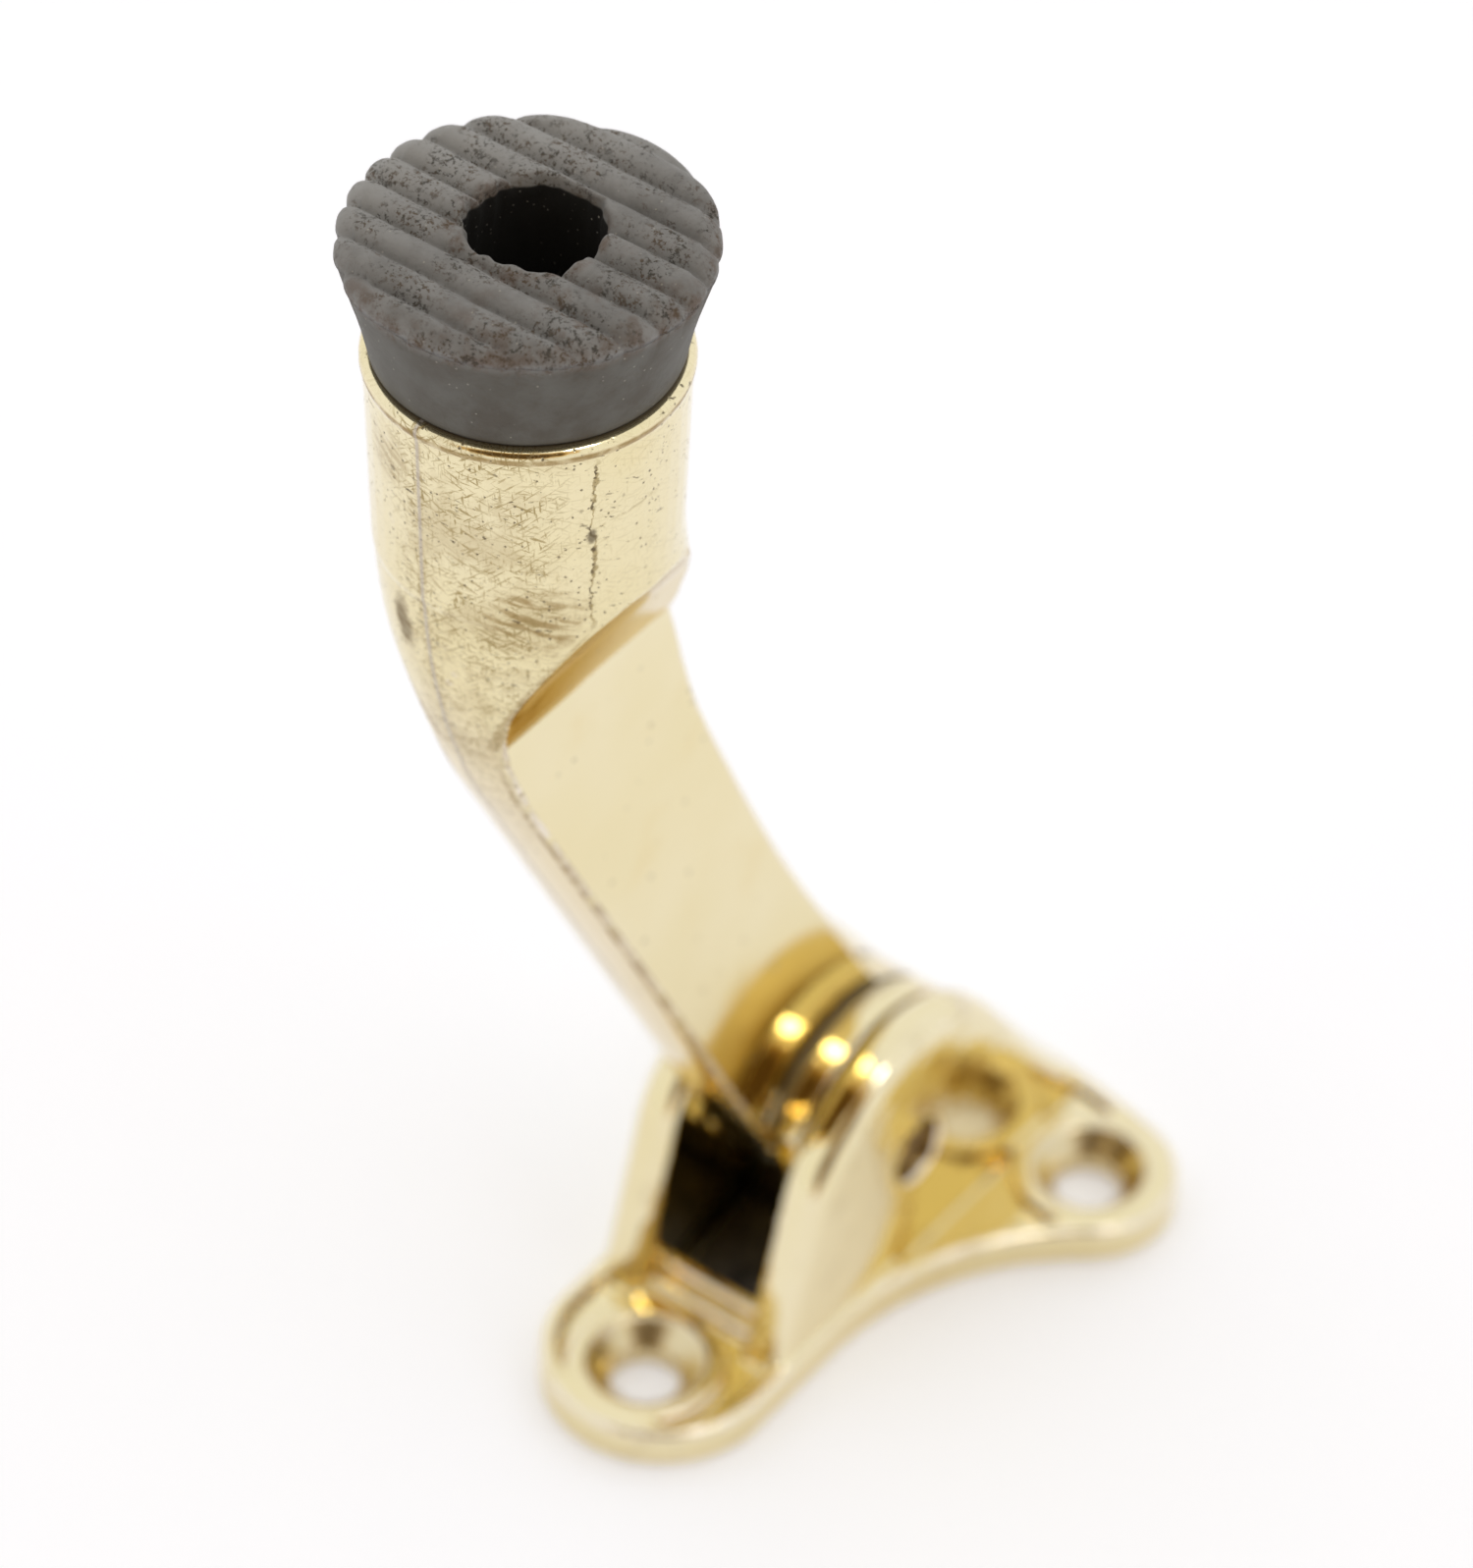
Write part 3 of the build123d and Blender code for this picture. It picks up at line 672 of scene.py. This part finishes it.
# half outline of the foot, in mm
STEM = ((8.22, 0.0), (8.26, 0.3))                     # radius, height above the stem's end
FLARE = (                                             # radius, height above the socket's rim
    (8.26, -0.02), (9.04, 0.02), (9.12, 0.15), (9.28, 0.6), (9.48, 1.6), (9.78, 3.0),
    (10.13, 4.4), (10.55, 5.8), (10.90, 6.9), (11.04, 7.5),
)
SHOULDER = (                                          # radius, share of the rib's height
    (11.10, -0.10), (11.06, 0.18), (10.92, 0.42), (10.70, 0.62), (10.45, 0.78), (10.15, 0.90),
)
WELL_DEPTHS = (0.5, 0.9, 1.5, 2.2, 3.0, 4.0, 5.0, 6.2, 7.5, 9.0, 10.5, 12.0, 12.9)


def rib(y_rel, x_rel):
    """Height of the tread above its grooves: rounded ribs along X, slightly uneven."""
    wobble = 0.10 * MM * noise.noise(Vector((x_rel * 260, y_rel * 160, 3.1)))
    phase = ((y_rel - RIB_SHIFT + wobble) / RIB_PITCH + 0.5) % 1.0 - 0.5
    return RIB_H * (1 - abs(2 * phase) ** 2.6)


def well_radius(turn):
    """The ragged edge of the well."""
    d = Vector((math.cos(turn), math.sin(turn), 0))
    coarse = noise.noise(d * 1.9 + Vector((4.2, 1.7, 0.3)))
    fine = noise.noise(d * 6.5 + Vector((1.2, 7.7, 2.3)))
    return (4.05 + 0.40 * coarse + 0.22 * fine) * MM


def point(radius, turn, z):
    return (FOOT.x + radius * math.cos(turn), FOOT.y + radius * math.sin(turn), z)


def flat_ring(radius, z):
    return [point(radius, turn, z) for turn in TURNS]


def bite(turn, left, right):
    """Grooves cut deeper into the side away from +X."""
    return left if math.cos(turn) < 0 else right


def outline():
    """Stem and flare as (radius in mm, height) with closely spaced points."""
    corners = [(radius, STEM_Z + lift * MM) for radius, lift in STEM]
    corners += [(radius, RIM_Z + lift * MM) for radius, lift in FLARE]
    dense = []
    for (r0, z0), (r1, z1) in zip(corners, corners[1:]):
        steps = max(2, int((z1 - z0) / RING_STEP) + 1)
        for k in range(steps):
            t = k / steps
            dense.append((r0 * (1 - t) + r1 * t, z0 * (1 - t) + z1 * t))
    dense.append(corners[-1])
    return dense


def side_ring(radius, z):
    """One ring of the stem or flare; the ribs' ends scallop its upper part."""
    rise = min(max((z - (RIM_Z + 4.6 * MM)) / (2.9 * MM), 0), 1)
    ring = []
    for t in TURNS:
        grown = radius
        if z > RIM_Z:
            wave = noise.noise(Vector((math.cos(t) * 1.6, math.sin(t) * 1.6, z * 260))) * 0.06
            groove = rib(radius * MM * math.sin(t), 0) / RIB_H - 1.0
            grown += wave + groove * bite(t, 0.42, 0.18) * rise**2
        ring.append(point(grown * MM, t, z))
    return ring


def shoulder_ring(radius, lift):
    """One ring of the rounded edge between flare and tread."""
    ring = []
    for t in TURNS:
        wave = noise.noise(Vector((math.cos(t) * 1.6, math.sin(t) * 1.6, 27.0))) * 0.10
        r = (radius + wave) * MM
        height = rib(r * math.sin(t), r * math.cos(t))
        r -= (1 - height / RIB_H) * bite(t, 0.40, 0.16) * MM
        z = TREAD_LOW - 0.35 * MM + (height + 0.35 * MM) * max(lift, 0) + min(lift, 0) * MM * 3
        ring.append(point(r, t, z))
    return ring


def tread_ring(share):
    """One ring of the ribbed tread; share runs from 0 at its edge to 1 at the well."""
    ring = []
    edge = max(0.0, 1 - (1 - share) * TREAD_IN / 0.55)
    for t in TURNS:
        r = TREAD_IN * MM * (1 - share) + (well_radius(t) + 0.12 * MM) * share
        px = r * math.cos(t)
        py = r * math.sin(t) + WELL_SHIFT * share**1.5
        lump = noise.noise(Vector((px * 900, py * 900, 8.0))) * 0.035 * MM
        lump += noise.noise(Vector((px * 2600, py * 2600, 1.0))) * 0.015 * MM
        dish = -0.10 * MM * noise.noise(Vector((px * 130, py * 130, 5.0)))
        z = TREAD_LOW + rib(py, px) + lump + dish - 0.25 * MM * edge**2
        ring.append((FOOT.x + px, FOOT.y + py, min(z, FOOT_TOP + 0.02 * MM)))
    return ring


def well_ring(depth):
    """One ring of the well's wall, ragged near the tread and round below."""
    ring = []
    calm = min(depth / 6.0, 1.0)
    for t in TURNS:
        lump = noise.noise(Vector((math.cos(t) * 3, math.sin(t) * 3, depth * 1.1))) * 0.16 * MM
        r = well_radius(t) * (1 - calm) + WELL_R * MM * calm + lump * (1 - calm)
        y = FOOT.y + WELL_SHIFT * (1 - calm) + r * math.sin(t)
        ring.append((FOOT.x + r * math.cos(t), y, TREAD_LOW - depth * MM))
    return ring


def foot_mesh():
    """One closed skin: stem, flare, ribbed tread and well, as rings of points round the axis."""
    floor_z = WASHER_Z - 0.02 * MM
    rings = [flat_ring(SCREW_R, STEM_Z), flat_ring(STEM_FLOOR_R, STEM_Z)]
    rings += [side_ring(radius, z) for radius, z in outline()]
    rings += [shoulder_ring(radius, lift) for radius, lift in SHOULDER]
    rings += [tread_ring(step / TREAD_STEPS) for step in range(TREAD_STEPS + 1)]
    rings += [well_ring(depth) for depth in WELL_DEPTHS]
    rings += [
        flat_ring((WELL_R - 0.05) * MM, floor_z + 0.15 * MM),
        flat_ring((WELL_R - 0.25) * MM, floor_z),
        flat_ring(SCREW_R, floor_z),
    ]

    bm = bmesh.new()
    loops = [[bm.verts.new(p) for p in ring] for ring in rings]
    for a, b in zip(loops, loops[1:] + loops[:1]):
        for k in range(AROUND):
            j = (k + 1) % AROUND
            bm.faces.new((a[k], a[j], b[j], b[k]))
    bmesh.ops.recalc_face_normals(bm, faces=bm.faces)
    mesh = bpy.data.meshes.new("rubber_foot_tread")
    bm.to_mesh(mesh)
    bm.free()
    for poly in mesh.polygons:
        poly.use_smooth = True
    return mesh


def add_foot():
    foot = bpy.data.objects.new("rubber_foot_tread", foot_mesh())
    scene.collection.objects.link(foot)
    foot.data.materials.append(rubber())
    ease(foot, 1)
    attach(foot, "lever")
    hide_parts("rubber_foot")


# ------------------------------------------------------------------ floor
PAPER_GLOW = 0.225
FLOOR_SIZE = 3.0
FLOOR_DROP = 0.05 * MM


def add_floor():
    bm = bmesh.new()
    bmesh.ops.create_grid(bm, x_segments=1, y_segments=1, size=FLOOR_SIZE)
    mesh = bpy.data.meshes.new("studio_floor")
    bm.to_mesh(mesh)
    bm.free()
    floor = bpy.data.objects.new("studio_floor", mesh)
    floor.location.z = -FLOOR_DROP
    scene.collection.objects.link(floor)
    mat, n = material("white_paper")
    grain = n.noise(n.add("ShaderNodeTexCoord").outputs["Object"], 60.0, 3.0)
    n.surface(
        Base_Color=n.mix(grain, (0.895, 0.90, 0.925), (0.91, 0.915, 0.94)),
        Roughness=0.8, Specular_IOR_Level=0.1,
        Emission_Color=(0.97, 0.99, 1.06), Emission_Strength=PAPER_GLOW,
    )
    floor.data.materials.append(mat)


# ------------------------------------------------------------------ soft studio surroundings
SKY = 1.0
SKY_COLOUR = (1.0, 0.995, 0.985)
GOLDEN = (0.80, 0.52, 0.20)
DUSK = (0.11, 0.062, 0.022)
OPENING = Vector((0.43, -0.72, 0.55))      # the tent is open, and dark, towards the camera
KEY_TOWARD = Vector((0.43, -0.03, 0.90))
KEY_AIM = Vector((0, -0.015, 0.04))
KEY_DISTANCE, KEY_SIZE, KEY_POWER = 0.70, 0.155, 0.63


def add_sky():
    world = bpy.data.worlds.new("studio")
    scene.world = world
    world.use_nodes = True
    n = Nodes(world.node_tree)
    ray = n.add("ShaderNodeTexCoord").outputs["Generated"]
    facing = n.vec("DOT_PRODUCT", ray, tuple(OPENING.normalized()))
    glow = n.mix(n.ramp(facing, 0.79, 0.87), SKY_COLOUR, GOLDEN)
    glow = n.mix(n.ramp(facing, 0.84, 0.93), glow, DUSK)
    camera_ray = n.add("ShaderNodeLightPath").outputs["Is Camera Ray"]
    back = n.add("ShaderNodeBackground")
    n.put(back.inputs["Color"], n.mix(camera_ray, glow, WHITE))
    n.put(back.inputs["Strength"], SKY)
    n.tree.links.new(back.outputs[0], n.add("ShaderNodeOutputWorld").inputs[0])


def add_key():
    """A small disk whose light shows in the brass but not on matt surfaces."""
    data = bpy.data.lights.new("key_above", "AREA")
    data.shape = "DISK"
    data.size = KEY_SIZE
    data.energy = KEY_POWER
    data.color = (1.0, 0.985, 0.95)
    light = bpy.data.objects.new("key_above", data)
    light.location = KEY_AIM + KEY_TOWARD.normalized() * KEY_DISTANCE
    light.rotation_mode = "QUATERNION"
    light.rotation_quaternion = KEY_TOWARD.to_track_quat("Z", "Y")
    light.visible_diffuse = False
    scene.collection.objects.link(light)


# ------------------------------------------------------------------ camera at the photograph's angle
AZIMUTH, ELEVATION, ROLL = math.radians(36.17), math.radians(43.54), math.radians(1.5)
SENSOR, LENS = 36.0, 174.20664             # mm
DEPTH = 509.9 * MM                         # from the camera to the front screw hole
HOLE_RIGHT = -6.12302 * MM                 # how far that hole lies right of the view's axis
HOLE_UP = -38.65818 * MM                   # and above it
LENS_OPENING = 6.5                         # mm


def add_camera():
    right = Vector((math.cos(AZIMUTH), math.sin(AZIMUTH), 0))
    ahead = Vector((
        -math.sin(AZIMUTH) * math.cos(ELEVATION),
        math.cos(AZIMUTH) * math.cos(ELEVATION),
        -math.sin(ELEVATION),
    ))
    up = right.cross(ahead)
    cam_x = right * math.cos(ROLL) + up * math.sin(ROLL)
    cam_y = -right * math.sin(ROLL) + up * math.cos(ROLL)
    hole = Vector(SCREW_HOLES[0]) * MM

    camera = bpy.data.objects.new("camera", bpy.data.cameras.new("camera"))
    scene.collection.objects.link(camera)
    camera.data.sensor_width = SENSOR
    camera.data.lens = LENS
    camera.data.clip_start = 0.02
    camera.data.clip_end = 20.0
    camera.rotation_mode = "QUATERNION"
    camera.rotation_quaternion = Matrix((cam_x, cam_y, -ahead)).transposed().to_quaternion()
    camera.location = hole - cam_x * HOLE_RIGHT - cam_y * HOLE_UP - ahead * DEPTH
    scene.camera = camera

    focus = bpy.data.objects.new("focus", None)
    focus.location = (0.0, FOOT.y - 6 * MM, FOOT_TOP - 4 * MM)
    scene.collection.objects.link(focus)
    camera.data.dof.use_dof = True
    camera.data.dof.focus_object = focus
    camera.data.dof.aperture_fstop = LENS / LENS_OPENING


dress_all()
add_foot()
add_floor()
add_sky()
add_key()
add_camera()

scene.view_settings.view_transform = "Standard"
scene.view_settings.look = "None"
scene.view_settings.exposure = 0.0
